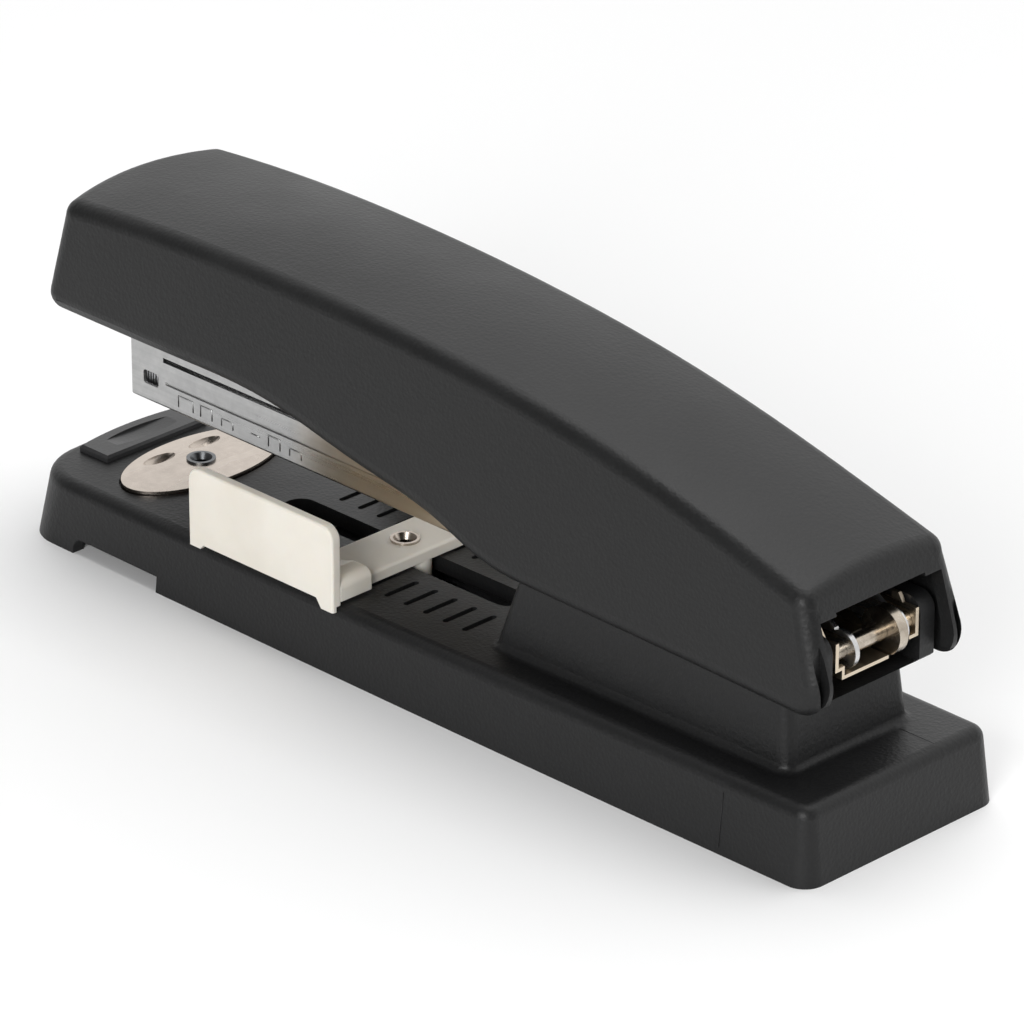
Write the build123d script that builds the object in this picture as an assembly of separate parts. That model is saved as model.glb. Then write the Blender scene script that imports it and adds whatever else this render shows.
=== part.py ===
from build123d import *
import math
import os

# Desk stapler with a sliding depth stop.  Millimetres, +Z up, +X towards the hinge.
# It is drawn about the slot and the tower, and each part is moved along X when it is saved, so
# that the origin is at the middle of the bottom face of the bounding box.

# ---- driving dimensions: base ----
base_front = -80.4
base_rear = 76.6
base_half_width = 19.0
base_side_bow = 0.5
base_front_bow = 1.2
base_front_lean = -1.5
base_draft = 6.0
base_wall = 2.0
deck_thickness = 2.4
deck_heights = [(-82.0, 10.2), (-70.0, 10.35), (-45.0, 10.5), (-10.0, 10.6), (30.0, 11.0), (80.0, 11.3)]
deck_middle = 10.7
base_edge_radius = 1.9
base_block_height = 25.0
base_rear_corner = 3.2
base_front_corner = 6.9
base_front_corner_growth = 6.7
skirt_notch = (-68.2, -50.2, 2.4)
middle_x = (base_front + base_rear) / 2

pad_floor = 9.4
pad_top = 11.3
pad_rear = -70.9
pad_front = -76.9
pad_half = 9.7
pad_bow = 1.0
pad_chamfer = 0.35
leaf_x = -74.2
leaf_half_length = 7.4
leaf_half_width = 1.9
leaf_ball = 40.0
leaf_depth = 0.45

plate_bottom = 0.6
plate_top = 2.2
plate_gap = 0.4
foot_radius = 4.0
foot_height = 1.2
foot_places = [(-38.0, 12.0), (-38.0, -12.0), (62.0, 12.0), (62.0, -12.0)]
screw_places = [(-46.5, 9.0), (-46.5, -9.0), (70.5, 13.0), (70.5, -13.0)]
screw_radius = 1.0
screw_head_radius = 2.0
screw_end = 7.5
boss_radius = 2.6

# ---- driving dimensions: hinge tower ----
hinge_x = 69.2
hinge_z = 28.4
pin_radius = 1.2
pin_clearance = 0.05
tower_half_width = 12.3
tower_front = 9.8
tower_root = 8.0
tower_rear = 67.0
tower_top = 22.6
tower_gap_half = 8.5
tower_floor = 14.6
tower_back_wall = 62.0
tower_back_top = 22.4
ear_rear = 70.9
ear_top = 31.6
ear_bottom = 22.3

# ---- driving dimensions: deck slot, scale and depth stop ----
slot_front = -42.9
slot_rear = 4.6
slot_half = 2.6
mark_pitch = 3.87
mark_count = 12
mark_last = 4.8
mark_inner = 5.3
mark_outer = 11.7
mark_width = 1.0
mark_depth = 0.7
stop_bar = (-23.6, -14.4)
stop_bar_top = 12.6
stop_wall = (-42.6, -13.0)
stop_wall_outer = 19.5
stop_wall_thickness = 1.7
stop_wall_top = 22.6
stop_gap = 0.15
stop_wall_bottom = 10.6
stop_wall_corner = 2.2
stop_wall_edge = 0.4
stop_boss_bottom = 5.2
gusset_height = 1.6
gusset_length = 6.0
eyelet_x = -18.8
eyelet_radius = 1.78
eyelet_hole = 1.15
eyelet_flange = 2.15
eyelet_flange_height = 0.35
clip_bottom = 4.42
clip_top = 4.95

# ---- driving dimensions: anvil ----
anvil_x = -61.4
anvil_top = 11.0
anvil_thickness = 1.2
anvil_half_length = 14.1
anvil_half_width = 7.4
anvil_pockets = [(-65.6, -4.35), (-65.3, 4.2)]
pocket_radii = (1.25, 3.1, 1.5)
pocket_lift = 0.5
anvil_gap = 0.3
button_radius = 4.2
button_top = 3.6
rivet_radius = 1.7
rivet_hole = 1.1
rivet_collar = 2.15
rivet_collar_height = 0.3

# ---- driving dimensions: magazine (24/6 and 26/6 staples) ----
staple_crown = 12.7
staple_leg = 6.0
staple_wire = 0.5
staple_pitch = 0.53
staples_in_strip = 50
magazine_half = 7.0
magazine_steel = 0.5
magazine_front = -68.1
magazine_bottom = 21.4
magazine_top = 31.0
channel_end = 54.0
bracket_front = 58.0
bracket_rear = 71.0
bracket_steel = 0.6
bracket_bottom = 25.1
bracket_step = 27.0
bracket_top = 30.7
bracket_half_low = 6.75
bracket_half_high = 8.05
window_front = -65.6
window_rear = -62.4
window_bottom = 24.1
window_top = 26.2
side_slot_front = -61.3
side_slot_rear = -20.0
side_slot_bottom = 28.5
side_slot_top = 29.25
groove_z = 25.3
groove_radius = 0.25
groove_rear = 40.0
rail_half = 5.6
rail_steel = 0.6
rail_front = -65.9
rail_rear = 50.0
rail_top = 27.45
rod_z_height = 24.3
rod_radius = 1.0
pusher_length = 15.0
pusher_half = 6.3
pusher_top = 28.4

collar_radius = 3.5
collar_inner = 2.6
collar_outer = 4.25

# ---- driving dimensions: cover ----
cover_wall = 1.7
cover_roof = 2.2
cover_rear_wall = 2.2
cover_draft = 0.0875
cover_edge_radius = 2.6
cover_crown = 1.2
# height of the upper long edge and half width there, from nose to hinge
cover_stations = [
    (-84.0, 51.2, 15.1),
    (-68.0, 52.7, 15.0),
    (-43.0, 53.8, 14.8),
    (-18.0, 53.4, 14.4),
    (6.0, 51.8, 14.0),
    (30.0, 48.6, 13.6),
    (52.0, 43.8, 13.5),
    (80.0, 36.4, 13.7),
]
nose_low = (-78.3, 38.6)
nose_high = (-75.2, 51.3)
nose_bow = 3.2
nose_edge_radius = 2.8
cover_rear_radius = 2.6
cover_lower_front = 35.3
cover_lower_points = [(-30.4, 34.5), (-14.0, 31.2), (3.0, 27.6)]
cover_lower_knee = (19.2, 23.5)
cover_lower_rear = 21.6
cover_rear = 74.4
cover_rear_face = ((73.9, 27.5), (70.3, 39.2))
cover_rear_corner = 4.5
rear_slot_half = 11.7
rear_slot_top = 35.2
rear_step_half = 8.6
rear_step_height = 0.5
rear_leaf_y = 13.05
rear_leaf_z = 28.6
rear_leaf_half_height = 4.6
rear_leaf_half_width = 0.75
lip_height = 2.5
lip_depth = 1.4
lip_end = 13.0

# ---- driving dimensions: upper frame, driver and springs ----
frame_half = 5.2
frame_steel = 0.8
frame_round = 2.75
frame_front = -66.0
frame_rear = 60.0
frame_top_front = 40.5
frame_top_rear = 36.0
post_places = [-44.0, 20.0]
post_radius = 2.8
leaf_spring_half = 3.6
driver_x = -66.95
driver_rivet_x = -60.5
driver_rivet_radius = 1.4
driver_thickness = 0.6


def side_face(outline, at_y=0.0):
    """A face of the side view, from a wire made by side_wire."""
    return Plane(origin=(0, at_y, 0), x_dir=(1, 0, 0), z_dir=(0, -1, 0)) * outline


def prism(points, y0, y1):
    """A straight prism of a side-view polygon between two Y positions."""
    face = make_face(Polyline(*points, close=True))
    return extrude(side_face(face, y1), amount=y1 - y0)


def block(x0, x1, y0, y1, z0, z1):
    """A rectangular block between six planes."""
    size = (x1 - x0, y1 - y0, z1 - z0)
    middle = ((x0 + x1) / 2, (y0 + y1) / 2, (z0 + z1) / 2)
    return Pos(*middle) * Box(*size)


def rod_y(x, z, radius, y0, y1):
    """A round bar along Y."""
    bar = Cylinder(radius, y1 - y0)
    return Pos(x, (y0 + y1) / 2, z) * Rot(90, 0, 0) * bar


def rod_x(y, z, radius, x0, x1):
    """A round bar along X."""
    bar = Cylinder(radius, x1 - x0)
    return Pos((x0 + x1) / 2, y, z) * Rot(0, 90, 0) * bar


def rod_z(x, y, radius, z0, z1):
    """A round bar along Z."""
    return Pos(x, y, (z0 + z1) / 2) * Cylinder(radius, z1 - z0)


def mirror_y(shape):
    """The same shape on the other side of the middle plane."""
    return mirror(shape, Plane.XZ)


def save(shape, name):
    """Write one node, moved so that the origin is under the middle of the length."""
    shape = Pos(-middle_x, 0, 0) * shape
    shape.label = name
    export_step(shape, f"parts/{name}.step")


# ---------------------------------------------------------------- base

def base_outline(inset, front_lean=0.0, corner_growth=0.0):
    """Plan outline of the base, moved inwards by inset, with its front face and corners changed."""
    rear = base_rear - inset
    front = base_front + inset + front_lean
    corner = front + base_front_bow
    half = base_half_width - inset
    bowed = half + base_side_bow
    sides = [
        Line((rear, -half), (rear, half)),
        ThreePointArc((rear, half), (0, bowed), (corner, half)),
        ThreePointArc((corner, half), (front, 0), (corner, -half)),
        ThreePointArc((corner, -half), (0, -bowed), (rear, -half)),
    ]
    face = make_face(sides)
    behind = [v for v in face.vertices() if v.X > 0]
    face = fillet(behind, max(base_rear_corner - inset, 1.0))
    ahead = [v for v in face.vertices() if v.X < corner + 0.01]
    return fillet(ahead, base_front_corner + corner_growth)


def tapered_base(inset):
    """The drafted block of the base, from the floor to well above the deck."""
    lean = base_block_height * math.tan(math.radians(base_draft))
    upper = base_outline(inset + lean, base_front_lean, base_front_corner_growth)
    upper = Pos(0, 0, base_block_height) * upper
    return loft([base_outline(inset), upper], ruled=True)


def deck_solid(offset):
    """Everything below the gently curved deck, lowered by offset."""
    top = Spline(*[(x, z - offset) for x, z in deck_heights])
    first = deck_heights[0]
    last = deck_heights[-1]
    sides = [
        top,
        Line((last[0], last[1] - offset), (last[0], -20)),
        Line((last[0], -20), (first[0], -20)),
        Line((first[0], -20), (first[0], first[1] - offset)),
    ]
    return extrude(side_face(make_face(sides), 30), amount=60)


def tower_solid():
    """The hinge tower that rises from the deck, with the two ears for the pin."""
    profile = [
        (tower_front, 5.0),
        (tower_front, tower_root),
        (tower_front + 5.0, tower_top),
        (60.0, tower_top),
        (64.2, ear_top),
        (ear_rear, ear_top),
        (ear_rear, ear_bottom + 0.5),
        (ear_rear - 0.5, ear_bottom),
        (tower_rear - 1.6, ear_bottom - 0.3),
        (tower_rear, tower_root),
        (tower_rear, 5.0),
    ]
    body = prism(profile, -tower_half_width, tower_half_width)
    lean = 1.0
    plan = [
        (-tower_half_width, 5.0),
        (-tower_half_width, tower_root),
        (-tower_half_width + lean, tower_top),
        (-tower_half_width + lean, 40.0),
        (tower_half_width - lean, 40.0),
        (tower_half_width - lean, tower_top),
        (tower_half_width, tower_root),
        (tower_half_width, 5.0),
    ]
    end_view = Plane(origin=(0, 0, 0), x_dir=(0, 1, 0), z_dir=(1, 0, 0))
    section = make_face(end_view * Polyline(*plan, close=True))
    body = body & extrude(Pos(5, 0, 0) * section, amount=70, dir=(1, 0, 0))
    ear_edges = []
    for edge in body.edges().filter_by(Axis.Y):
        if edge.center().X > ear_rear - 0.1 and edge.center().Z > hinge_z:
            ear_edges.append(edge)
    body = fillet(ear_edges, 2.4)
    uprights = []
    for edge in body.edges():
        size = edge.bounding_box().size
        middle = edge.center()
        if size.Z > 4 and size.X < 6 and 11 < middle.Z < 22 and abs(middle.Y) > tower_half_width - 1.2:
            uprights.append(edge)
    return fillet(uprights, 2.0)


def base_housing():
    """The black moulded base with its tower, slot, scale and seats."""
    skirt = tapered_base(0)
    shell = skirt & deck_solid(0)
    rim = [e for e in shell.edges() if e.center().Z > 8]
    shell = fillet(rim, base_edge_radius)
    hollow = tapered_base(base_wall) & deck_solid(deck_thickness)
    tower = tower_solid()
    body = shell - hollow
    body = body + (tower - block(-90, 90, -30, 30, -5, deck_middle - deck_thickness / 2))
    foot = []
    for edge in body.edges():
        middle = edge.center()
        on_deck = 10.3 < middle.Z < 11.6 and abs(middle.Y) < tower_half_width + 0.5
        if on_deck and tower_front < middle.X < tower_rear + 1:
            foot.append(edge)
    body = fillet(foot, 1.2)
    pocket = block(14.0, 64.0, -tower_half_width + 2.0, tower_half_width - 2.0, 5.0, tower_floor - 2.0)
    body = body - pocket
    body = body - block(tower_front - 2, tower_back_wall, -tower_gap_half, tower_gap_half, tower_floor, 60)
    body = body - block(50, 90, -tower_gap_half, tower_gap_half, tower_back_top, 60)
    body = body - rod_y(hinge_x, hinge_z, pin_radius, -20, 20)
    body = body - slot_cut() - scale_marks() - anvil_seat() - pad_seat()
    low, high, top = skirt_notch
    notch = block(low, high, -30, 30, -1, top)
    notch = fillet(notch.edges().filter_by(Axis.Y).sort_by(Axis.Z)[-2:].sort_by(Axis.X)[:1], 1.6)
    body = body - notch
    for x, y in screw_places:
        boss = rod_z(x, y, boss_radius, plate_top, deck_middle - 1.0)
        body = body + boss
        body = body - rod_z(x, y, screw_radius, plate_top - 1, deck_middle - deck_thickness)
    return body


def slot_cut():
    """The long slot that guides the depth stop."""
    length = slot_rear - slot_front
    shape = SlotOverall(length, 2 * slot_half)
    middle = (slot_front + slot_rear) / 2
    return Pos(middle, 0, 4) * extrude(shape, amount=12)


def scale_marks():
    """Two rows of short sunk marks beside the slot."""
    cuts = []
    length = mark_outer - mark_inner
    for index in range(mark_count):
        x = mark_last - index * mark_pitch
        shape = Rot(0, 0, 90) * SlotOverall(length, mark_width)
        y = (mark_outer + mark_inner) / 2
        cut = Pos(x, y, deck_middle - mark_depth) * extrude(shape, amount=3)
        cuts.append(cut)
        cuts.append(mirror_y(cut))
    return Compound(cuts)


def anvil_outline(grow):
    """Oval plan of the anvil plate, grown all round by grow."""
    return Pos(anvil_x, 0, 0) * Ellipse(anvil_half_width + grow, anvil_half_length + grow)


def anvil_seat():
    """Recess and rivet hole for the anvil."""
    floor = anvil_top - anvil_thickness - 0.05
    seat = Pos(0, 0, floor) * extrude(anvil_outline(anvil_gap), amount=5)
    return seat + rod_z(anvil_x, 0, rivet_radius + 0.1, 4, 12)


def pad_outline(grow):
    """Plan of the raised pad at the front of the base."""
    rear = pad_rear + grow
    half = pad_half + grow
    corner = pad_front - grow
    sides = [
        Line((rear, -half), (rear, half)),
        Line((rear, half), (corner, half)),
        ThreePointArc((corner, half), (corner - pad_bow, 0), (corner, -half)),
        Line((corner, -half), (rear, -half)),
    ]
    return make_face(sides)


def pad_seat():
    """Recess for the front pad."""
    return Pos(0, 0, pad_floor) * extrude(pad_outline(0.05), amount=5)


def front_pad():
    """The raised black pad with a shallow leaf-shaped hollow."""
    pad = Pos(0, 0, pad_floor) * extrude(pad_outline(0), amount=pad_top - pad_floor)
    pad = chamfer(pad.faces().sort_by(Axis.Z)[-1].edges(), pad_chamfer)
    hollow = Pos(leaf_x, 0, pad_top + leaf_ball - leaf_depth) * Sphere(leaf_ball)
    leaf = Pos(leaf_x, 0, pad_top - 1) * extrude(Ellipse(leaf_half_width, leaf_half_length), amount=3)
    return pad - (hollow & leaf)


def base_bottom_plate():
    """Grey cover plate that closes the underside of the base."""
    plate = extrude(base_outline(base_wall + plate_gap), amount=plate_top - plate_bottom)
    plate = Pos(0, 0, plate_bottom) * plate
    low, high, top = skirt_notch
    plate = plate - block(-90, high + 0.6, -30, 30, 0, 4)
    for x, y in screw_places:
        plate = plate - rod_z(x, y, screw_radius + 0.3, 0, 4) - rod_z(x, y, screw_head_radius + 0.1, 0, 1.05)
    for x, y in foot_places:
        plate = plate - rod_z(x, y, foot_radius + 0.1, 0, foot_height)
    return plate - block(anvil_x - 12, anvil_x + 12, -9, 9, 0, 4)


def rubber_feet():
    """Four round rubber feet."""
    feet = []
    for x, y in foot_places:
        foot = rod_z(x, y, foot_radius, 0, foot_height)
        feet.append(fillet(foot.edges().sort_by(Axis.Z)[0], 0.3))
    return Compound(feet)


def bottom_screws():
    """Pan-head screws of the bottom plate."""
    screws = []
    for x, y in screw_places:
        head = rod_z(x, y, screw_head_radius, 0.65, 1.0) + rod_z(x, y, screw_radius + 0.2, 0.9, plate_top)
        shank = rod_z(x, y, screw_radius - 0.02, 1.0, screw_end)
        cross = block(x - 1.2, x + 1.2, y - 0.25, y + 0.25, 0.6, 0.9)
        screws.append(head + shank - cross)
    return Compound(screws)


# ---------------------------------------------------------------- anvil

def anvil_plate():
    """The nickel-plated clinching plate with its two pairs of pockets."""
    floor = anvil_top - anvil_thickness
    plate = Pos(0, 0, floor) * extrude(anvil_outline(0), amount=anvil_thickness)
    for x, y in anvil_pockets:
        pocket = Pos(x, y, anvil_top + pocket_lift) * scale(Sphere(1.0), pocket_radii)
        plate = plate - pocket
    return plate - rod_z(anvil_x, 0, rivet_radius, 0, 20)


def anvil_rivet():
    """Hollow rivet that carries the anvil through the deck."""
    top = anvil_top + rivet_collar_height
    body = rod_z(anvil_x, 0, rivet_radius, button_top, anvil_top)
    collar = rod_z(anvil_x, 0, rivet_collar, anvil_top, top)
    foot = rod_z(anvil_x, 0, 3.0, button_top, button_top + 0.8)
    hole = rod_z(anvil_x, 0, rivet_hole, button_top + 2.0, 20)
    return body + collar + foot - hole - rolled_mouth(anvil_x, top, rivet_hole)


def rolled_mouth(x, top, hole):
    """Flared mouth of a rolled rivet or eyelet, to be cut out of it."""
    return Pos(x, 0, top - 0.4) * Cone(hole, hole + 0.6, 1.0)


def anvil_button():
    """Push button under the anvil."""
    button = rod_z(anvil_x, 0, button_radius, button_top - 1.0, button_top)
    return fillet(button.edges().sort_by(Axis.Z)[0], 0.4)


def coil(radius, wire, height, turns):
    """A closed coil spring along Z with its foot at the origin."""
    path = Helix(pitch=height / turns, height=height, radius=radius)
    start = path @ 0
    plane = Plane(origin=start, z_dir=path % 0)
    return sweep(plane * Circle(wire / 2), path=path, is_frenet=True)


def anvil_spring():
    """Small coil spring that pulls the anvil down into its seat."""
    return Pos(anvil_x, 0, 4.85) * coil(2.3, 0.5, 2.9, 3)


# ---------------------------------------------------------------- depth stop

def depth_stop():
    """The cream plastic depth stop: a bar across the deck and two upright walls."""
    x0, x1 = stop_bar
    floor = deck_middle + stop_gap
    reach = stop_wall_outer - stop_wall_thickness
    bar = block(x0, x1, -reach - 0.5, reach + 0.5, floor, stop_bar_top)
    bar = fillet(bar.edges().filter_by(Axis.Y).sort_by(Axis.Z)[-2:], 0.5)
    boss = extrude(SlotOverall(x1 - x0, 2 * slot_half - 0.5), amount=floor - stop_boss_bottom + 0.4)
    body = bar + Pos((x0 + x1) / 2, 0, stop_boss_bottom) * boss
    for side in (-1, 1):
        body = body + stop_side(side)
    return body - rod_z(eyelet_x, 0, eyelet_radius + 0.02, 0, 20)


def stop_side(side):
    """One upright wall of the depth stop with its feet and gusset."""
    front, rear = stop_wall
    inner = stop_wall_outer - stop_wall_thickness
    bottom = stop_wall_bottom
    outline = [
        (front, stop_wall_top),
        (rear, stop_wall_top),
        (rear, bottom - 0.9),
        (rear - 2.4, bottom - 0.9),
        (rear - 3.4, bottom + 0.5),
        (front + 3.0, bottom + 0.5),
        (front + 2.4, bottom - 0.2),
        (front, bottom - 0.2),
    ]
    wall = prism(outline, inner, stop_wall_outer)
    corners = wall.edges().filter_by(Axis.Y)
    corners = corners.filter_by_position(Axis.Z, stop_wall_top - 0.1, stop_wall_top + 0.1)
    wall = fillet(corners, stop_wall_corner)
    rims = []
    wall_middle = (inner + stop_wall_outer) / 2
    for edge in wall.edges():
        from_middle = abs(edge.center().Y - wall_middle)
        if edge.center().Z > 11.5 and from_middle > 0.5 * stop_wall_thickness - 0.01:
            rims.append(edge)
    wall = fillet(rims, stop_wall_edge)
    wall = wall - block(front - 1, rear + 1, inner - 1, inner + 1.0, 0, bottom - 0.1)
    bar_front, bar_rear = stop_bar
    low = stop_bar_top - gusset_height
    high = stop_bar_top + gusset_height
    gusset = prism(
        [(bar_rear + 1.4, low), (bar_rear + 1.4, high), (bar_rear - 2.2, high),
         (bar_front + 1.0, stop_bar_top - 0.4), (bar_front + 1.0, low)],
        inner - gusset_length, inner + 0.1)
    crest = gusset.edges().filter_by(Axis.Y).filter_by_position(Axis.Z, stop_bar_top + 1, 20)
    gusset = fillet(crest, 1.4)
    end = gusset.edges().filter_by_position(Axis.Y, inner - gusset_length - 0.1, inner - gusset_length + 0.1)
    gusset = fillet(end, 0.4)
    body = wall + gusset
    if side < 0:
        body = mirror_y(body)
    return body


def stop_eyelet():
    """Nickel eyelet that clamps the depth stop to its clip."""
    top = stop_bar_top + eyelet_flange_height
    body = rod_z(eyelet_x, 0, eyelet_radius, clip_bottom - 0.02, stop_bar_top)
    flange = rod_z(eyelet_x, 0, eyelet_flange, stop_bar_top, top)
    foot = rod_z(eyelet_x, 0, eyelet_flange + 0.15, clip_bottom - 0.32, clip_bottom - 0.02)
    body = body + flange + foot
    return body - rod_z(eyelet_x, 0, eyelet_hole, 0, 20) - rolled_mouth(eyelet_x, top, eyelet_hole)


def stop_clip():
    """Spring-steel clip that rubs on the underside of the deck."""
    x0, x1 = stop_bar
    clip = block(x0 + 0.5, x1 - 0.1, -6.0, 6.0, clip_bottom, clip_top)
    return clip - rod_z(eyelet_x, 0, eyelet_radius + 0.04, 0, 20)


# ---------------------------------------------------------------- magazine

def magazine_channel():
    """Folded steel channel that holds the staples, with a stepped bracket for the hinge."""
    steel = magazine_steel
    outer = block(magazine_front, channel_end, -magazine_half, magazine_half, magazine_bottom, magazine_top)
    inner = block(magazine_front + steel, channel_end + 1, -magazine_half + steel, magazine_half - steel,
                  magazine_bottom + steel, magazine_top + 1)
    corner = outer.edges().filter_by(Axis.X).sort_by(Axis.Z)[:2]
    outer = fillet(corner, 0.45)
    body = outer - inner
    exit_slot = block(magazine_front + steel + 0.02, magazine_front + steel + 1.1, -6.45, 6.45, 20, 23)
    body = body - exit_slot
    body = body - block(magazine_front - 1, magazine_front + steel + 0.1, -5.2, 5.2, 29.4, 40)
    window = block(window_front, window_rear, -20, 20, window_bottom, window_top)
    window = fillet(window.edges().filter_by(Axis.Y), 0.5)
    body = body - window
    slot = block(side_slot_front, side_slot_rear, -20, 20, side_slot_bottom, side_slot_top)
    body = body - slot
    for side in (-1, 1):
        groove = rod_x(side * magazine_half, groove_z, groove_radius, side_slot_front + 0.4, groove_rear)
        body = body - groove
    low = bracket_part(bracket_half_low, bracket_bottom, bracket_step, channel_end - 1.5)
    low = low + block(channel_end - 1.5, channel_end, -bracket_half_low - 0.2, bracket_half_low + 0.2,
                      magazine_bottom, bracket_bottom + steel)
    body = body + low
    low_side = bracket_half_low - steel
    high_side = bracket_half_high - bracket_steel
    shelf_bottom = bracket_step - steel
    high = block(bracket_front, bracket_rear, high_side, bracket_half_high, shelf_bottom, bracket_top)
    shelf = block(bracket_front, bracket_rear, low_side, bracket_half_high, shelf_bottom, bracket_step)
    tab = [
        (66.6, bracket_top - 0.6),
        (69.0, bracket_top - 0.6),
        (67.8, bracket_top + 1.2),
        (66.6, bracket_top + 1.2),
    ]
    tab = prism(tab, high_side, bracket_half_high)
    ears = high + shelf + tab
    body = body + ears + mirror_y(ears)
    cut_bottom = bracket_bottom - 1
    body = body - block(63.0, bracket_rear + 1, 2.3, bracket_half_low + 1, cut_bottom, shelf_bottom)
    return body - rod_y(hinge_x, hinge_z, pin_radius + pin_clearance, -20, 20)


def bracket_part(half, z0, z1, x0):
    """The narrow rear end of the channel."""
    steel = magazine_steel
    outer = block(x0, bracket_rear, -half, half, z0, z1)
    inner = block(x0 - 1, bracket_rear + 1, -half + steel, half - steel, z0 + steel, z1 + 1)
    return outer - inner


def magazine_nose():
    """Folded front plate that guides the driver."""
    plate = block(magazine_front - 0.6, magazine_front, -6.4, 6.4, magazine_bottom + 0.5, 29.2)
    return fillet(plate.edges().filter_by(Axis.X), 1.0)


def staple_rail():
    """Inverted steel channel that the staples straddle."""
    outer = block(rail_front, rail_rear, -rail_half, rail_half, magazine_bottom + magazine_steel, rail_top)
    inner = block(rail_front - 1, rail_rear + 1, -rail_half + rail_steel, rail_half - rail_steel,
                  magazine_bottom, rail_top - rail_steel)
    slot = block(rail_front + 5, rail_rear - 6, -1.3, 1.3, rail_top - 2, rail_top + 1)
    end = block(rail_rear - 0.8, rail_rear, -rail_half + 0.3, rail_half - 0.3,
                magazine_bottom + magazine_steel, rail_top)
    stop = block(rail_front, rail_front + 0.8, -rail_half + 0.3, rail_half - 0.3,
                 magazine_bottom + magazine_steel + 0.8, rail_top)
    body = outer - inner - slot + end + stop
    return body - rod_x(0, rod_z_height, rod_radius, -80, 80)


def pusher_rod():
    """Steel rod that the pusher and its spring run on."""
    return rod_x(0, rod_z_height, rod_radius, rail_front, rail_rear)


def rod_head():
    """Stop collar at the rear end of the guide rod."""
    return rod_x(0, rod_z_height, 2 * rod_radius, rail_rear, rail_rear + 1.2)


def staple_strip():
    """One strip of staples glued side by side."""
    half = staple_crown / 2
    length = staples_in_strip * staple_pitch
    x0 = rail_front + 0.05
    z0 = rail_top + 0.02 + staple_wire - staple_leg
    outer = block(x0, x0 + length, -half, half, z0, rail_top + 0.02 + staple_wire)
    top = outer.edges().filter_by(Axis.X).sort_by(Axis.Z)[-2:]
    outer = fillet(top, 0.4)
    inner = block(x0 - 1, x0 + length + 1, -half + staple_wire, half - staple_wire, z0 - 1, rail_top + 0.02)
    return outer - inner


def strip_end():
    """Rear end of the staple strip."""
    return rail_front + 0.05 + staples_in_strip * staple_pitch


def pusher():
    """Plastic-faced shoe that pushes the strip forward along the rail."""
    x0 = strip_end() + 0.1
    x1 = x0 + pusher_length
    floor = magazine_bottom + magazine_steel + 0.15
    outer = block(x0, x1, -pusher_half, pusher_half, floor, pusher_top)
    outer = fillet(outer.edges().filter_by(Axis.Y).sort_by(Axis.Z)[-2:], 0.8)
    inner = block(x0 - 1, x1 + 1, -rail_half - 0.15, rail_half + 0.15, 20, rail_top + 0.15)
    neck = block(x0 + 2, x1 - 3, -1.0, 1.0, rail_top - 1.5, rail_top + 0.5)
    lug = block(x0 + 2, x1 - 3, -2.6, 2.6, rod_z_height - 1.7, rail_top - rail_steel - 0.2)
    return outer - inner + neck + lug - rod_x(0, rod_z_height, rod_radius + 0.06, -90, 90)


def pusher_spring():
    """Long coil spring on the guide rod behind the pusher."""
    x0 = strip_end() + 0.1 + 12.1
    height = rail_rear - 1.0 - x0
    spring = coil(1.75, 0.45, height, 26)
    return Pos(x0 + 0.05, 0, rod_z_height) * Rot(0, 90, 0) * spring


# ---------------------------------------------------------------- hinge

def hinge_pin():
    """Steel hinge pin across the tower."""
    return rod_y(hinge_x, hinge_z, pin_radius, -11.2, 11.2)


def pin_collar():
    """Loose collar on the pin between the frame plates."""
    ring = rod_y(hinge_x, hinge_z, collar_radius, collar_inner, collar_outer)
    return ring - rod_y(hinge_x, hinge_z, pin_radius + 0.04, -20, 20)


def return_spring():
    """Coil spring that lifts the magazine off the base."""
    return Pos(30.0, 0, tower_floor + 0.45) * coil(3.4, 0.8, magazine_bottom - tower_floor - 0.9, 4)


# ---------------------------------------------------------------- cover and upper frame

def cover_section(x, top, half, inset, roof_inset):
    """Cross-section of the cover at one station, from the floor side up to the crowned roof."""
    half = half - inset
    top = top - roof_inset
    low = 12.0
    low_half = half + (top - low) * cover_draft
    radius = max(cover_edge_radius - inset, 0.9)
    end_view = Plane(origin=(x, 0, 0), x_dir=(0, 1, 0), z_dir=(1, 0, 0))
    sides = [
        Line((-low_half, low), (low_half, low)),
        Line((low_half, low), (half, top)),
        ThreePointArc((half, top), (0, top + cover_crown), (-half, top)),
        Line((-half, top), (-low_half, low)),
    ]
    face = make_face(sides)
    upper = face.vertices().sort_by(Axis.Y)[-2:]
    face = fillet(upper, radius)
    return end_view * face


def cover_block(inset, roof_inset):
    """The long crowned body of the cover before it is trimmed."""
    sections = [cover_section(x, top, half, inset, roof_inset) for x, top, half in cover_stations]
    return loft(sections)


def nose_trim(setback):
    """Everything behind the bowed, leaning nose surface."""
    low_x, low_z = nose_low
    high_x, high_z = nose_high
    lean = (high_x - low_x) / (high_z - low_z)
    floor = 10.0
    x = low_x - (low_z - floor) * lean + setback
    sides = [
        ThreePointArc((x + 1.9 * nose_bow, -24), (x, 0), (x + 1.9 * nose_bow, 24)),
        Line((x + 1.9 * nose_bow, 24), (x + 180, 24)),
        Line((x + 180, 24), (x + 180, -24)),
        Line((x + 180, -24), (x + 1.9 * nose_bow, -24)),
    ]
    face = Pos(0, 0, floor) * make_face(sides)
    direction = Vector(lean, 0, 1)
    return extrude(face, amount=55 * direction.length, dir=direction.normalized())


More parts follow.
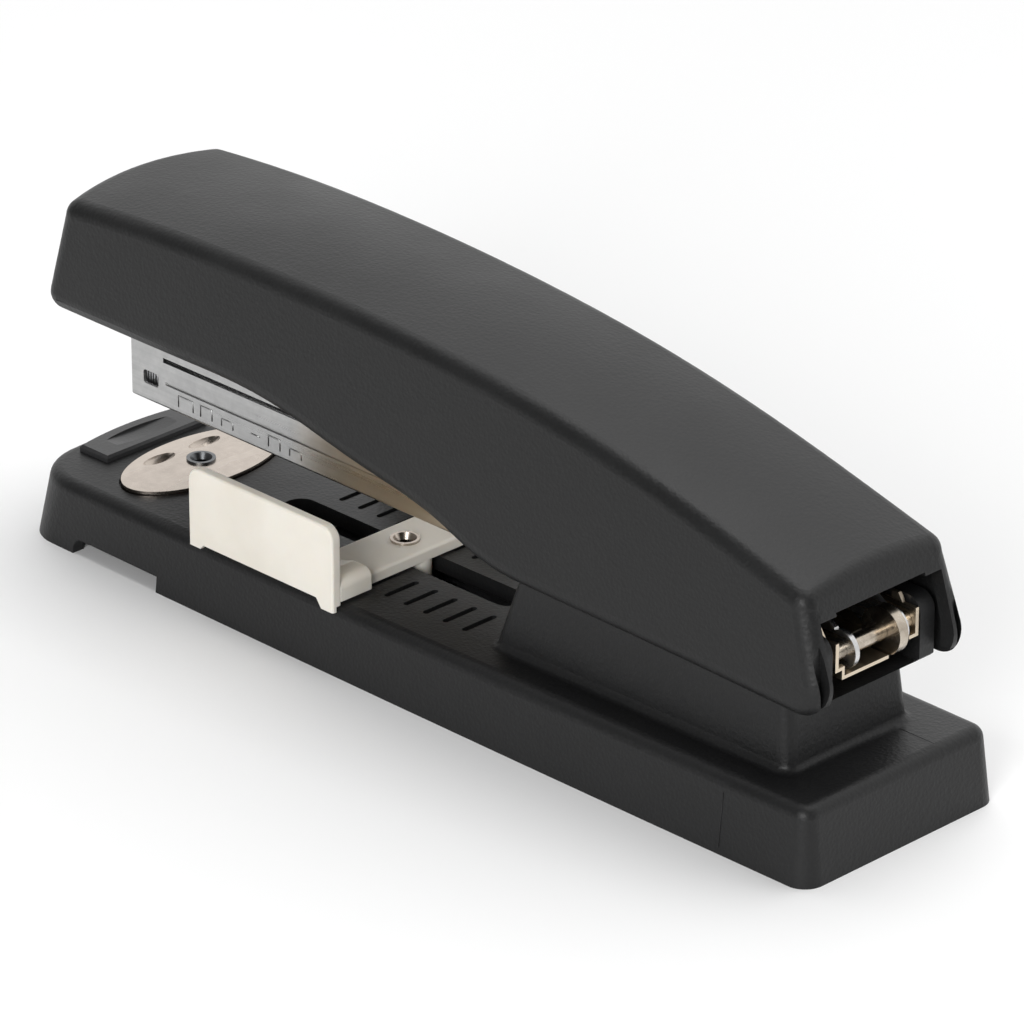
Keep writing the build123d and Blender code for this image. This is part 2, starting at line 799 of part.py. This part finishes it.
def cover_side_outline():
    """Side view of the cover: lower edge, round rear corner and slanted rear face."""
    knee_x, knee_z = cover_lower_knee
    face_low, face_high = cover_rear_face
    steepness = (face_high[1] - face_low[1]) / (face_high[0] - face_low[0])
    corner = (face_low[0] + (cover_lower_rear - face_low[1]) / steepness, cover_lower_rear)
    beyond = (face_high[0] - 4, face_high[1] - 4 * steepness)
    first = (-45.0, cover_lower_front)
    slope = (cover_lower_rear - knee_z) / (corner[0] - knee_x)
    curve = Spline(first, *cover_lower_points, cover_lower_knee, tangents=[(1, 0), (1, slope)])
    sides = [
        Line((-95, cover_lower_front), first),
        curve,
        Line(cover_lower_knee, corner),
        Line(corner, beyond),
        Line(beyond, (beyond[0], 75)),
        Line((beyond[0], 75), (-95, 75)),
        Line((-95, 75), (-95, cover_lower_front)),
    ]
    face = make_face(sides)
    return fillet(face.vertices().sort_by(Axis.X)[-1], cover_rear_corner)


def lip_cutter():
    """Slanted cut that turns the lower edge inwards towards the nose."""
    slope = lip_height / lip_depth
    start_y = 24.0
    lift = (start_y - 16.5) * slope
    lower = [(-45.0, cover_lower_front), *cover_lower_points]
    raised = []
    for x, z in lower:
        share = min((lip_end - x) / (lip_end + 45.0), 1.0)
        raised.append((x, z + lip_height * share + lift))
    end = (lip_end + 4.0, 24.0 + lift)
    sides = [
        Line((-95, raised[0][1]), raised[0]),
        Spline(*raised, end, tangents=[(1, 0), (1, -0.27)]),
        Line(end, (end[0], 0)),
        Line((end[0], 0), (-95, 0)),
        Line((-95, 0), (-95, raised[0][1])),
    ]
    face = side_face(make_face(sides), -start_y)
    direction = Vector(0, 1, -slope)
    return extrude(face, amount=16 * direction.length, dir=direction.normalized())


def cover_shell():
    """The charcoal moulded cover."""
    body = cover_block(0, 0) & nose_trim(0)
    nose_edges = [e for e in body.edges() if e.center().X < -69 and e.center().Z > 25]
    body = fillet(nose_edges, nose_edge_radius)
    body = body & extrude(side_face(cover_side_outline(), 30), amount=60)
    rear_edges = []
    for edge in body.edges():
        middle = edge.center()
        if middle.X > 66 and middle.Z > 25.0 and edge.bounding_box().size.X < 5:
            rear_edges.append(edge)
    body = fillet(rear_edges, cover_rear_radius)
    cut = lip_cutter()
    body = body - cut - mirror_y(cut)
    nose_low_x, nose_low_z = nose_low
    under = prism([(nose_low_x - 5, nose_low_z + 3.3), (nose_low_x - 5, 20), (nose_low_x + 4.6, 20),
                   (nose_low_x + 4.6, cover_lower_front - 1.2)], -25, 25)
    body = body - under
    inner = cover_block(cover_wall, cover_roof) & nose_trim(cover_roof)
    inner = inner & inner_side_block()
    body = body - inner
    body = body - rear_opening()
    for x in post_places:
        post = rod_z(x, 0, post_radius, roof_of_frame(x) + 0.2, 55)
        post = post & cover_block(1.0, 1.0)
        body = body + post
        body = body - rod_z(x, 0, 0.9, roof_of_frame(x) - 1, roof_of_frame(x) + 6)
    return body


def inner_side_block():
    """Side view of the space inside the cover."""
    face_low, face_high = cover_rear_face
    low_x = face_low[0] - cover_rear_wall
    high_x = face_high[0] - cover_rear_wall
    points = [
        (-95, 0),
        (90, 0),
        (90, 24),
        (low_x, 24),
        (low_x, face_low[1]),
        (high_x, face_high[1]),
        (high_x - 6, 60),
        (-95, 75),
    ]
    return prism(points, -30, 30)


def rear_opening():
    """Wide opening at the rear, higher in the middle."""
    wide = block(64.0, 90.0, -rear_slot_half, rear_slot_half, 0, rear_slot_top)
    centre = block(64.0, 90.0, -rear_step_half, rear_step_half, 0, rear_slot_top + rear_step_height)
    cut = wide + centre
    for side in (-1, 1):
        leaf = Rot(0, 90, 0) * Ellipse(rear_leaf_half_height, rear_leaf_half_width)
        leaf = Pos(cover_rear - cover_rear_wall, side * rear_leaf_y, rear_leaf_z) * leaf
        cut = cut + extrude(leaf, amount=5, dir=(1, 0, 0))
    return cut


def roof_of_frame(x):
    """Height of the upper frame's top face at a station."""
    share = (x - frame_front) / (frame_rear - frame_front)
    return frame_top_front + (frame_top_rear - frame_top_front) * share


def upper_frame():
    """Folded steel frame that carries the driver and turns on the hinge pin."""
    side = [
        (frame_front, 36.0),
        (frame_front, frame_top_front),
        (frame_rear, frame_top_rear),
        (68.0, hinge_z + frame_round),
        (69.0, hinge_z),
        (66.0, hinge_z - 2.0),
        (56.0, 31.8),
        (40.0, 32.0),
        (-30.0, 34.5),
    ]
    outer = prism(side, -frame_half, frame_half)
    outer = outer + rod_y(hinge_x, hinge_z, frame_round, -frame_half, frame_half)
    inside = [
        (frame_front - 5, 20),
        (frame_front - 5, frame_top_front - frame_steel + 0.18),
        (frame_rear, frame_top_rear - frame_steel),
        (80, frame_top_rear - frame_steel - 2.0),
        (80, 20),
    ]
    lowered = prism(inside, -frame_half + frame_steel, frame_half - frame_steel)
    body = outer - lowered
    body = body - block(57.0, 80.0, -frame_half + frame_steel, frame_half - frame_steel, 20, 60)
    body = body - rod_y(hinge_x, hinge_z, pin_radius + pin_clearance, -20, 20)
    for x in post_places:
        body = body - rod_z(x, 0, 1.1, 30, 60)
    return body - rod_z(driver_rivet_x, 0, driver_rivet_radius, 30, 60)


def cover_screws():
    """Screws that hold the cover to the upper frame."""
    screws = []
    for x in post_places:
        top = roof_of_frame(x)
        shank = rod_z(x, 0, 0.88, top - 1.2, top + 5)
        head = rod_z(x, 0, 2.0, top - 2.3, top - frame_steel - 0.18)
        screws.append(shank + head)
    return Compound(screws)


def driver_blade():
    """Hardened blade that drives one staple at a time."""
    x0 = driver_x - driver_thickness / 2
    x1 = driver_x + driver_thickness / 2
    blade = block(x0, x1, -6.2, 6.2, 28.9, 36.0)
    neck = block(x0, x1, -4.2, 4.2, 35.5, 41.2)
    hook = block(x0, -58.0, -4.2, 4.2, 41.0, 41.6)
    return blade + neck + hook - rod_z(driver_rivet_x, 0, driver_rivet_radius, 30, 50)


def driver_rivet():
    """Rivet that joins the driver to the upper frame."""
    top = 41.6
    shank = rod_z(driver_rivet_x, 0, driver_rivet_radius, roof_of_frame(driver_rivet_x) - 1.2, top)
    return shank + rod_z(driver_rivet_x, 0, 2.2, top, top + 0.6)


def drive_spring():
    """Leaf spring between the upper frame and the magazine."""
    strip = [(-20.0, 37.0), (-20.0, 37.6), (12.0, 34.0), (44.0, 31.5), (44.0, 31.0), (12.0, 33.4)]
    return prism(strip, -leaf_spring_half, leaf_spring_half)


nodes = {
    "base_housing": base_housing,
    "base_bottom_plate": base_bottom_plate,
    "bottom_screws": bottom_screws,
    "rubber_feet": rubber_feet,
    "front_pad": front_pad,
    "anvil_plate": anvil_plate,
    "anvil_rivet": anvil_rivet,
    "anvil_button": anvil_button,
    "anvil_spring": anvil_spring,
    "depth_stop": depth_stop,
    "stop_eyelet": stop_eyelet,
    "stop_clip": stop_clip,
    "magazine_channel": magazine_channel,
    "magazine_nose": magazine_nose,
    "staple_rail": staple_rail,
    "pusher_rod": pusher_rod,
    "rod_head": rod_head,
    "staple_strip": staple_strip,
    "pusher": pusher,
    "pusher_spring": pusher_spring,
    "hinge_pin": hinge_pin,
    "pin_collar": pin_collar,
    "return_spring": return_spring,
    "cover_shell": cover_shell,
    "upper_frame": upper_frame,
    "cover_screws": cover_screws,
    "driver_blade": driver_blade,
    "driver_rivet": driver_rivet,
    "drive_spring": drive_spring,
}

os.makedirs("parts", exist_ok=True)
for name, make in nodes.items():
    save(make(), name)
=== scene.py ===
import math

import bpy
import bmesh
from mathutils import Matrix, Vector


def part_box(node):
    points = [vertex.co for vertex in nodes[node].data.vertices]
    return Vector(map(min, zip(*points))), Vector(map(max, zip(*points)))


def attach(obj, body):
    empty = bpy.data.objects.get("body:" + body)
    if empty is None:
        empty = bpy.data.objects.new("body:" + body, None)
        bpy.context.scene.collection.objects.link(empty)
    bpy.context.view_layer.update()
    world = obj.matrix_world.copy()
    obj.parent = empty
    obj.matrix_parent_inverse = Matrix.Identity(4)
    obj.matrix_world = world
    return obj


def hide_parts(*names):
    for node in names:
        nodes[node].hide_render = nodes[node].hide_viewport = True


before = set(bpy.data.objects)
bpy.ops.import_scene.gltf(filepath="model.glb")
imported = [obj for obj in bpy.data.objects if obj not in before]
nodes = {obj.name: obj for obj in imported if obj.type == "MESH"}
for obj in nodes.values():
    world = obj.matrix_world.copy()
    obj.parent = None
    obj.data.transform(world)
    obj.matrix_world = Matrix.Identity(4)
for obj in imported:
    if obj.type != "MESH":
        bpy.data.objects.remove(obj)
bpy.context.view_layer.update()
MM = 0.001
along_x = Vector((1.0, 0.0, 0.0))
along_y = Vector((0.0, 1.0, 0.0))
thin_sides = 6

# ---- staples ----
staple_count = 50
staple_wire = 0.5 * MM
staple_bend = 0.7 * MM

# ---- marks on the magazine: start from its front end, width and height ----
channel_half = 7.0 * MM
mark_wire = 0.11 * MM
mark_bottom = 1.2 * MM
mark_outlines = [
    (9.9 * MM, 3.1 * MM, 1.7 * MM),
    (14.6 * MM, 2.4 * MM, 1.7 * MM),
    (19.0 * MM, 2.4 * MM, 1.1 * MM),
    (28.8 * MM, 2.4 * MM, 1.7 * MM),
    (33.2 * MM, 2.4 * MM, 1.1 * MM),
]
mark_dash_start = 25.2 * MM
mark_dash_length = 1.8 * MM
mark_dash_height = 0.8 * MM

# ---- mould lines on the base ----
base_half = 19.19 * MM
base_draft = 6.0
side_seam_x = 62.7 * MM
seam_low = 1.0 * MM
seam_high = 8.9 * MM
seam_wire = 0.07 * MM
deck_seam_start = 69.8 * MM
deck_seam_end = 75.8 * MM
deck_seam_y = 8.5 * MM
deck_seam_z = 11.27 * MM

# ---- light ----
room_front = 0.14
room_back = 1.25
room_direction = (-0.25, 0.95, 0.18)
room_ramp = (-0.20, 0.70)
light_target = (0.0, 0.0, 0.02)
top_place = (0.0, 0.15, 0.80)
top_size = (0.7, 0.5)
top_power = 2.6
front_place = (0.55, -1.15, 0.55)
front_size = (0.6, 0.6)
front_power = 12.0
floor_half = 3.0
floor_white = (0.92, 0.92, 0.92, 1.0)

# ---- camera ----
camera_place = (0.628724, -0.616857, 0.441583)
camera_azimuth = 45.34
camera_elevation = 25.44
camera_lens = 247.4
camera_frame = 36.0
camera_near = 0.05
camera_far = 20.0


# ---------------------------------------------------------------- material tools

def new_material(name):
    """An empty node material with a Principled shader, as (material, tree, shader)."""
    material = bpy.data.materials.new(name)
    material.use_nodes = True
    tree = material.node_tree
    shader = tree.nodes["Principled BSDF"]
    return material, tree, shader


def coordinates(tree, stretch=(1.0, 1.0, 1.0)):
    """Object coordinates, stretched along the axes."""
    source = tree.nodes.new("ShaderNodeTexCoord")
    mapping = tree.nodes.new("ShaderNodeMapping")
    mapping.inputs["Scale"].default_value = stretch
    tree.links.new(source.outputs["Object"], mapping.inputs["Vector"])
    return mapping.outputs["Vector"]


def noise_value(tree, vector, scale, detail=3.0, roughness=0.5):
    """Noise between 0 and 1 at that many cycles per metre."""
    node = tree.nodes.new("ShaderNodeTexNoise")
    node.inputs["Scale"].default_value = scale
    node.inputs["Detail"].default_value = detail
    node.inputs["Roughness"].default_value = roughness
    tree.links.new(vector, node.inputs["Vector"])
    return node.outputs["Fac"]


def cell_value(tree, vector, scale):
    """Distance to the nearest cell point, for speckled mould texture."""
    node = tree.nodes.new("ShaderNodeTexVoronoi")
    node.inputs["Scale"].default_value = scale
    tree.links.new(vector, node.inputs["Vector"])
    return node.outputs["Distance"]


def in_range(tree, value, low, high, to_low, to_high):
    """Maps value from low..high to to_low..to_high, clamped."""
    node = tree.nodes.new("ShaderNodeMapRange")
    node.inputs["From Min"].default_value = low
    node.inputs["From Max"].default_value = high
    node.inputs["To Min"].default_value = to_low
    node.inputs["To Max"].default_value = to_high
    tree.links.new(value, node.inputs["Value"])
    return node.outputs["Result"]


def combined(tree, first, second, operation="ADD"):
    """Two values joined by a math operation."""
    node = tree.nodes.new("ShaderNodeMath")
    node.operation = operation
    for socket, value in zip(node.inputs, (first, second)):
        if isinstance(value, (int, float)):
            socket.default_value = value
        else:
            tree.links.new(value, socket)
    return node.outputs["Value"]


def blended(tree, factor, first, second):
    """A colour between two colours by factor."""
    node = tree.nodes.new("ShaderNodeMix")
    node.data_type = "RGBA"
    tree.links.new(factor, node.inputs["Factor"])
    for socket, value in ((node.inputs[6], first), (node.inputs[7], second)):
        if isinstance(value, tuple):
            socket.default_value = (*value, 1.0)
        else:
            tree.links.new(value, socket)
    return node.outputs[2]


def bumped(tree, shader, height, distance):
    """Bump from a height value, with the distance in metres."""
    node = tree.nodes.new("ShaderNodeBump")
    node.inputs["Strength"].default_value = 1.0
    node.inputs["Distance"].default_value = distance
    tree.links.new(height, node.inputs["Height"])
    tree.links.new(node.outputs["Normal"], shader.inputs["Normal"])


def worn_edges(tree, low, high):
    """Grows from 0 on flat areas to 1 on convex edges."""
    node = tree.nodes.new("ShaderNodeNewGeometry")
    return in_range(tree, node.outputs["Pointiness"], low, high, 0.0, 1.0)


# ---------------------------------------------------------------- materials

def moulded_plastic(name, dark, light, rough, grain=2600.0, depth=0.00003):
    """Dark moulding with a fine spark-eroded grain and slightly rubbed edges."""
    material, tree, shader = new_material(name)
    vector = coordinates(tree)
    cloud = noise_value(tree, vector, 55.0, 4.0)
    fine = noise_value(tree, vector, grain, 2.0, 0.6)
    cells = cell_value(tree, vector, grain * 0.6)
    tone = in_range(tree, combined(tree, cloud, fine, "MULTIPLY"), 0.12, 0.42, 0.0, 1.0)
    colour = blended(tree, tone, dark, light)
    rubbed = tuple(value * 1.4 + 0.004 for value in light)
    worn = combined(tree, worn_edges(tree, 0.53, 0.62), 0.25, "MULTIPLY")
    colour = blended(tree, worn, colour, rubbed)
    tree.links.new(colour, shader.inputs["Base Color"])
    roughness = in_range(tree, cloud, 0.3, 0.7, rough - 0.04, rough + 0.05)
    tree.links.new(roughness, shader.inputs["Roughness"])
    height = combined(tree, fine, cells, "ADD")
    bumped(tree, shader, height, depth)
    shader.inputs["Specular IOR Level"].default_value = 0.32
    return material


def cream_plastic(name):
    """Smooth cream moulding that lets a little light in."""
    material, tree, shader = new_material(name)
    vector = coordinates(tree)
    cloud = noise_value(tree, vector, 90.0, 4.0)
    fine = noise_value(tree, vector, 1800.0, 2.0)
    share = in_range(tree, cloud, 0.35, 0.65, 0.0, 1.0)
    colour = blended(tree, share, (0.78, 0.735, 0.65), (0.84, 0.80, 0.72))
    tree.links.new(colour, shader.inputs["Base Color"])
    tree.links.new(in_range(tree, cloud, 0.3, 0.7, 0.36, 0.46), shader.inputs["Roughness"])
    bumped(tree, shader, fine, 0.000012)
    shader.inputs["Subsurface Weight"].default_value = 0.18
    shader.inputs["Subsurface Radius"].default_value = (1.0, 0.7, 0.45)
    shader.inputs["Subsurface Scale"].default_value = 0.0012
    return material


def sheet_steel(name, dark, light, rough, streak=(18.0, 900.0, 900.0), warm=None):
    """Rolled and plated steel with faint streaks, by default along X.

    warm is a tint with the two X positions between which it grows in, towards the rear.
    """
    material, tree, shader = new_material(name)
    lines = noise_value(tree, coordinates(tree, streak), 1.0, 3.0, 0.6)
    spots = noise_value(tree, coordinates(tree), 420.0, 5.0, 0.7)
    line_share = in_range(tree, lines, 0.3, 0.7, 0.0, 0.6)
    spot_share = in_range(tree, spots, 0.35, 0.7, 0.0, 0.4)
    tone = combined(tree, line_share, spot_share)
    colour = blended(tree, tone, dark, light)
    if warm:
        tint, start, end = warm
        source = tree.nodes.new("ShaderNodeTexCoord")
        split = tree.nodes.new("ShaderNodeSeparateXYZ")
        tree.links.new(source.outputs["Object"], split.inputs["Vector"])
        share = in_range(tree, split.outputs["X"], start, end, 0.0, 0.75)
        colour = blended(tree, share, colour, tint)
    tree.links.new(colour, shader.inputs["Base Color"])
    shader.inputs["Metallic"].default_value = 1.0
    roughness = in_range(tree, lines, 0.25, 0.75, rough - 0.06, rough + 0.08)
    tree.links.new(roughness, shader.inputs["Roughness"])
    bumped(tree, shader, lines, 0.000006)
    return material


def plain_steel(name, dark, light, rough, grain=900.0):
    """Small turned or drawn steel parts."""
    material, tree, shader = new_material(name)
    spots = noise_value(tree, coordinates(tree), grain, 4.0, 0.6)
    colour = blended(tree, in_range(tree, spots, 0.3, 0.7, 0.0, 1.0), dark, light)
    tree.links.new(colour, shader.inputs["Base Color"])
    shader.inputs["Metallic"].default_value = 1.0
    roughness = in_range(tree, spots, 0.3, 0.7, rough - 0.05, rough + 0.07)
    tree.links.new(roughness, shader.inputs["Roughness"])
    bumped(tree, shader, spots, 0.000008)
    return material


def staple_steel(name):
    """Glued staple wires, with dark and light bands from wire to wire: painted shade in the grooves
    and painted highlights on the wire crowns.
    """
    material, tree, shader = new_material(name)
    wave = tree.nodes.new("ShaderNodeTexWave")
    wave.inputs["Scale"].default_value = 590.0
    wave.bands_direction = "X"
    wave.inputs["Distortion"].default_value = 0.0
    tree.links.new(coordinates(tree), wave.inputs["Vector"])
    rib_height_and_painted_shade = wave.outputs["Fac"]
    # painted shade between the wires and painted highlight on their crowns, as dark and light colour
    # bands; the same bands also drive the bump
    colour = blended(tree, rib_height_and_painted_shade, (0.30, 0.30, 0.31), (0.66, 0.66, 0.67))
    tree.links.new(colour, shader.inputs["Base Color"])
    shader.inputs["Metallic"].default_value = 1.0
    shader.inputs["Roughness"].default_value = 0.32
    bumped(tree, shader, rib_height_and_painted_shade, 0.00012)
    return material


def soft_rubber(name):
    """Dull black rubber with a dusty bloom."""
    material, tree, shader = new_material(name)
    dust = noise_value(tree, coordinates(tree), 700.0, 5.0, 0.7)
    share = in_range(tree, dust, 0.4, 0.8, 0.0, 1.0)
    colour = blended(tree, share, (0.018, 0.018, 0.018), (0.05, 0.05, 0.048))
    tree.links.new(colour, shader.inputs["Base Color"])
    tree.links.new(in_range(tree, dust, 0.3, 0.7, 0.72, 0.9), shader.inputs["Roughness"])
    bumped(tree, shader, dust, 0.00004)
    return material


cover_black = moulded_plastic("cover_black", (0.0085, 0.0086, 0.0088), (0.0135, 0.0136, 0.0138), 0.45)
base_black = moulded_plastic("base_black", (0.0080, 0.0081, 0.0084), (0.0125, 0.0126, 0.0130), 0.44)
satin_black = moulded_plastic("satin_black", (0.026, 0.026, 0.027), (0.036, 0.036, 0.037), 0.33,
                              3200.0, 0.00001)
inner_black = moulded_plastic("inner_black", (0.006, 0.006, 0.006), (0.010, 0.010, 0.010), 0.42,
                              2200.0, 0.00002)
plate_grey = moulded_plastic("plate_grey", (0.060, 0.060, 0.062), (0.085, 0.085, 0.088), 0.5)
cream = cream_plastic("cream")
channel_steel = sheet_steel("channel_steel", (0.35, 0.35, 0.35), (0.54, 0.54, 0.535), 0.30,
                            warm=((0.72, 0.60, 0.44), -0.033, -0.019))
plated = sheet_steel("plated", (0.52, 0.52, 0.52), (0.74, 0.74, 0.74), 0.27)
nickel = sheet_steel("nickel", (0.40, 0.35, 0.305), (0.56, 0.495, 0.435), 0.26, (260.0, 40.0, 300.0))
dark_steel = plain_steel("dark_steel", (0.10, 0.105, 0.11), (0.19, 0.195, 0.20), 0.36)
spring_wire = plain_steel("spring_wire", (0.32, 0.32, 0.33), (0.52, 0.52, 0.53), 0.28)
warm_steel = plain_steel("warm_steel", (0.36, 0.31, 0.25), (0.58, 0.52, 0.44), 0.24, 500.0)
staples = staple_steel("staples")
rubber = soft_rubber("rubber")

node_materials = {
    "base_housing": base_black,
    "base_bottom_plate": plate_grey,
    "bottom_screws": dark_steel,
    "rubber_feet": rubber,
    "front_pad": satin_black,
    "anvil_plate": nickel,
    "anvil_rivet": dark_steel,
    "anvil_button": plate_grey,
    "anvil_spring": spring_wire,
    "depth_stop": cream,
    "stop_eyelet": nickel,
    "stop_clip": spring_wire,
    "magazine_channel": channel_steel,
    "magazine_nose": plated,
    "staple_rail": plated,
    "pusher_rod": spring_wire,
    "rod_head": spring_wire,
    "staple_strip": staples,
    "pusher": inner_black,
    "pusher_spring": spring_wire,
    "hinge_pin": warm_steel,
    "pin_collar": warm_steel,
    "return_spring": spring_wire,
    "cover_shell": cover_black,
    "upper_frame": plated,
    "cover_screws": dark_steel,
    "driver_blade": dark_steel,
    "driver_rivet": plated,
    "drive_spring": spring_wire,
}
for name, material in node_materials.items():
    mesh = nodes[name].data
    mesh.materials.clear()
    mesh.materials.append(material)


# ---------------------------------------------------------------- detail pieces

def mesh_piece(name, build, material, body):
    """A new smooth object from a bmesh, with its material, riding on a body."""
    bmesh.ops.recalc_face_normals(build, faces=build.faces)
    mesh = bpy.data.meshes.new(name)
    build.to_mesh(mesh)
    build.free()
    mesh.shade_smooth()
    mesh.materials.append(material)
    piece = bpy.data.objects.new(name, mesh)
    bpy.context.scene.collection.objects.link(piece)
    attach(piece, body)
    return piece


def tube(build, points, radius, normal, sides=8):
    """A round wire through points that lie in one plane with that normal, with its ends closed."""
    rings = []
    count = len(points)
    for index, centre in enumerate(points):
        before = points[max(index - 1, 0)]
        after = points[min(index + 1, count - 1)]
        along = (after - before).normalized()
        upward = normal.cross(along)
        ring = []
        for side in range(sides):
            angle = 2 * math.pi * side / sides
            offset = normal * math.cos(angle) + upward * math.sin(angle)
            ring.append(build.verts.new(centre + offset * radius))
        rings.append(ring)
    for first, second in zip(rings, rings[1:]):
        for side in range(sides):
            following = (side + 1) % sides
            build.faces.new((first[side], first[following], second[following], second[side]))
    build.faces.new(list(reversed(rings[0])))
    build.faces.new(rings[-1])


def staple_path(half, leg, bend, steps=4):
    """Y and Z of a staple's wire centre, from one tip over the crown to the other."""
    path = [(-half, -leg)]
    for step in range(steps + 1):
        angle = math.pi - 0.5 * math.pi * step / steps
        path.append((-half + bend + bend * math.cos(angle), -bend + bend * math.sin(angle)))
    path += [(-y, z) for y, z in reversed(path)]
    return path


def staple_wires():
    """Separate staples in place of the plain strip, pressed side by side."""
    low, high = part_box("staple_strip")
    pitch = (high.x - low.x) / staple_count
    radius = staple_wire / 2
    half = (high.y - low.y - staple_wire) / 2
    path = staple_path(half, high.z - low.z - radius, staple_bend)
    build = bmesh.new()
    for index in range(staple_count):
        x = low.x + (index + 0.5) * pitch
        points = [Vector((x, y, high.z - radius + z)) for y, z in path]
        tube(build, points, radius, along_x)
    strip = mesh_piece("staple_wires", build, staples, "magazine")
    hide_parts("staple_strip")


def stamped_marks():
    """Half-sunk staple outlines and a short dash on both sides of the magazine."""
    low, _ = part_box("magazine_channel")
    bottom = low.z + mark_bottom
    build = bmesh.new()
    for side in (-1, 1):
        y = side * channel_half
        for start, width, height in mark_outlines:
            x0 = low.x + start
            x1 = x0 + width
            top = bottom + height
            corners = [(x0, bottom), (x0, top), (x1, top), (x1, bottom)]
            tube(build, [Vector((x, y, z)) for x, z in corners], mark_wire, along_y, thin_sides)
        x0 = low.x + mark_dash_start
        z = bottom + mark_dash_height
        ends = [Vector((x0, y, z)), Vector((x0 + mark_dash_length, y, z))]
        tube(build, ends, mark_wire, along_y, thin_sides)
    marks = mesh_piece("stamped_marks", build, channel_steel, "magazine")


def parting_lines():
    """Fine mould lines on the base: one down each side, and one on the deck behind the tower."""
    build = bmesh.new()
    draft = math.tan(math.radians(base_draft))
    for side in (-1, 1):
        foot = Vector((side_seam_x, side * (base_half - seam_low * draft), seam_low))
        head = Vector((side_seam_x, side * (base_half - seam_high * draft), seam_high))
        tube(build, [foot, head], seam_wire, along_x, thin_sides)
    front = Vector((deck_seam_start, deck_seam_y, deck_seam_z))
    back = Vector((deck_seam_end, deck_seam_y, deck_seam_z))
    tube(build, [front, back], seam_wire, along_y, thin_sides)
    seam = mesh_piece("base_parting_lines", build, base_black, "base")


staple_wires()
stamped_marks()
parting_lines()


# ---------------------------------------------------------------- stage, light and camera

def stage_floor():
    """A plain flat white floor."""
    mesh = bpy.data.meshes.new("floor")
    build = bmesh.new()
    half = floor_half
    corners = [(-half, -half), (half, -half), (half, half), (-half, half)]
    build.faces.new([build.verts.new((x, y, 0.0)) for x, y in corners])
    build.to_mesh(mesh)
    build.free()
    floor = bpy.data.objects.new("floor", mesh)
    bpy.context.scene.collection.objects.link(floor)
    material, _, shader = new_material("floor_white")
    shader.inputs["Base Color"].default_value = floor_white
    shader.inputs["Roughness"].default_value = 0.9
    mesh.materials.append(material)


def soft_light(name, place, size, power):
    """A rectangular soft box that points at the object."""
    data = bpy.data.lights.new(name, "AREA")
    data.shape = "RECTANGLE"
    data.size, data.size_y = size
    data.energy = power
    light = bpy.data.objects.new(name, data)
    light.location = place
    direction = Vector(light_target) - Vector(place)
    light.rotation_euler = direction.to_track_quat("-Z", "Y").to_euler()
    bpy.context.scene.collection.objects.link(light)


def studio():
    """A room that is bright behind the object and dim in front, with two soft boxes."""
    world = bpy.data.worlds.new("studio")
    world.use_nodes = True
    tree = world.node_tree
    background = tree.nodes["Background"]
    background.inputs["Color"].default_value = (1.0, 1.0, 1.0, 1.0)
    source = tree.nodes.new("ShaderNodeTexCoord")
    facing = tree.nodes.new("ShaderNodeVectorMath")
    facing.operation = "DOT_PRODUCT"
    facing.inputs[1].default_value = room_direction
    tree.links.new(source.outputs["Generated"], facing.inputs[0])
    strength = in_range(tree, facing.outputs["Value"], *room_ramp, room_front, room_back)
    tree.links.new(strength, background.inputs["Strength"])
    bpy.context.scene.world = world
    soft_light("top_box", top_place, top_size, top_power)
    soft_light("front_box", front_place, front_size, front_power)


def camera():
    """A long-lens camera that looks down from the hinge end and the near side."""
    azimuth = math.radians(camera_azimuth)
    elevation = math.radians(camera_elevation)
    data = bpy.data.cameras.new("camera")
    data.lens = camera_lens
    data.sensor_width = camera_frame
    data.clip_start = camera_near
    data.clip_end = camera_far
    eye = bpy.data.objects.new("camera", data)
    eye.location = camera_place
    forward = Vector((-math.sin(azimuth) * math.cos(elevation),
                      math.cos(azimuth) * math.cos(elevation),
                      -math.sin(elevation)))
    right = Vector((math.cos(azimuth), math.sin(azimuth), 0.0))
    up = right.cross(forward)
    eye.rotation_mode = "QUATERNION"
    eye.rotation_quaternion = Matrix((right, up, -forward)).transposed().to_quaternion()
    bpy.context.scene.collection.objects.link(eye)
    bpy.context.scene.camera = eye


stage_floor()
studio()
camera()
bpy.context.scene.view_settings.view_transform = "Standard"

bpy.context.view_layer.update()
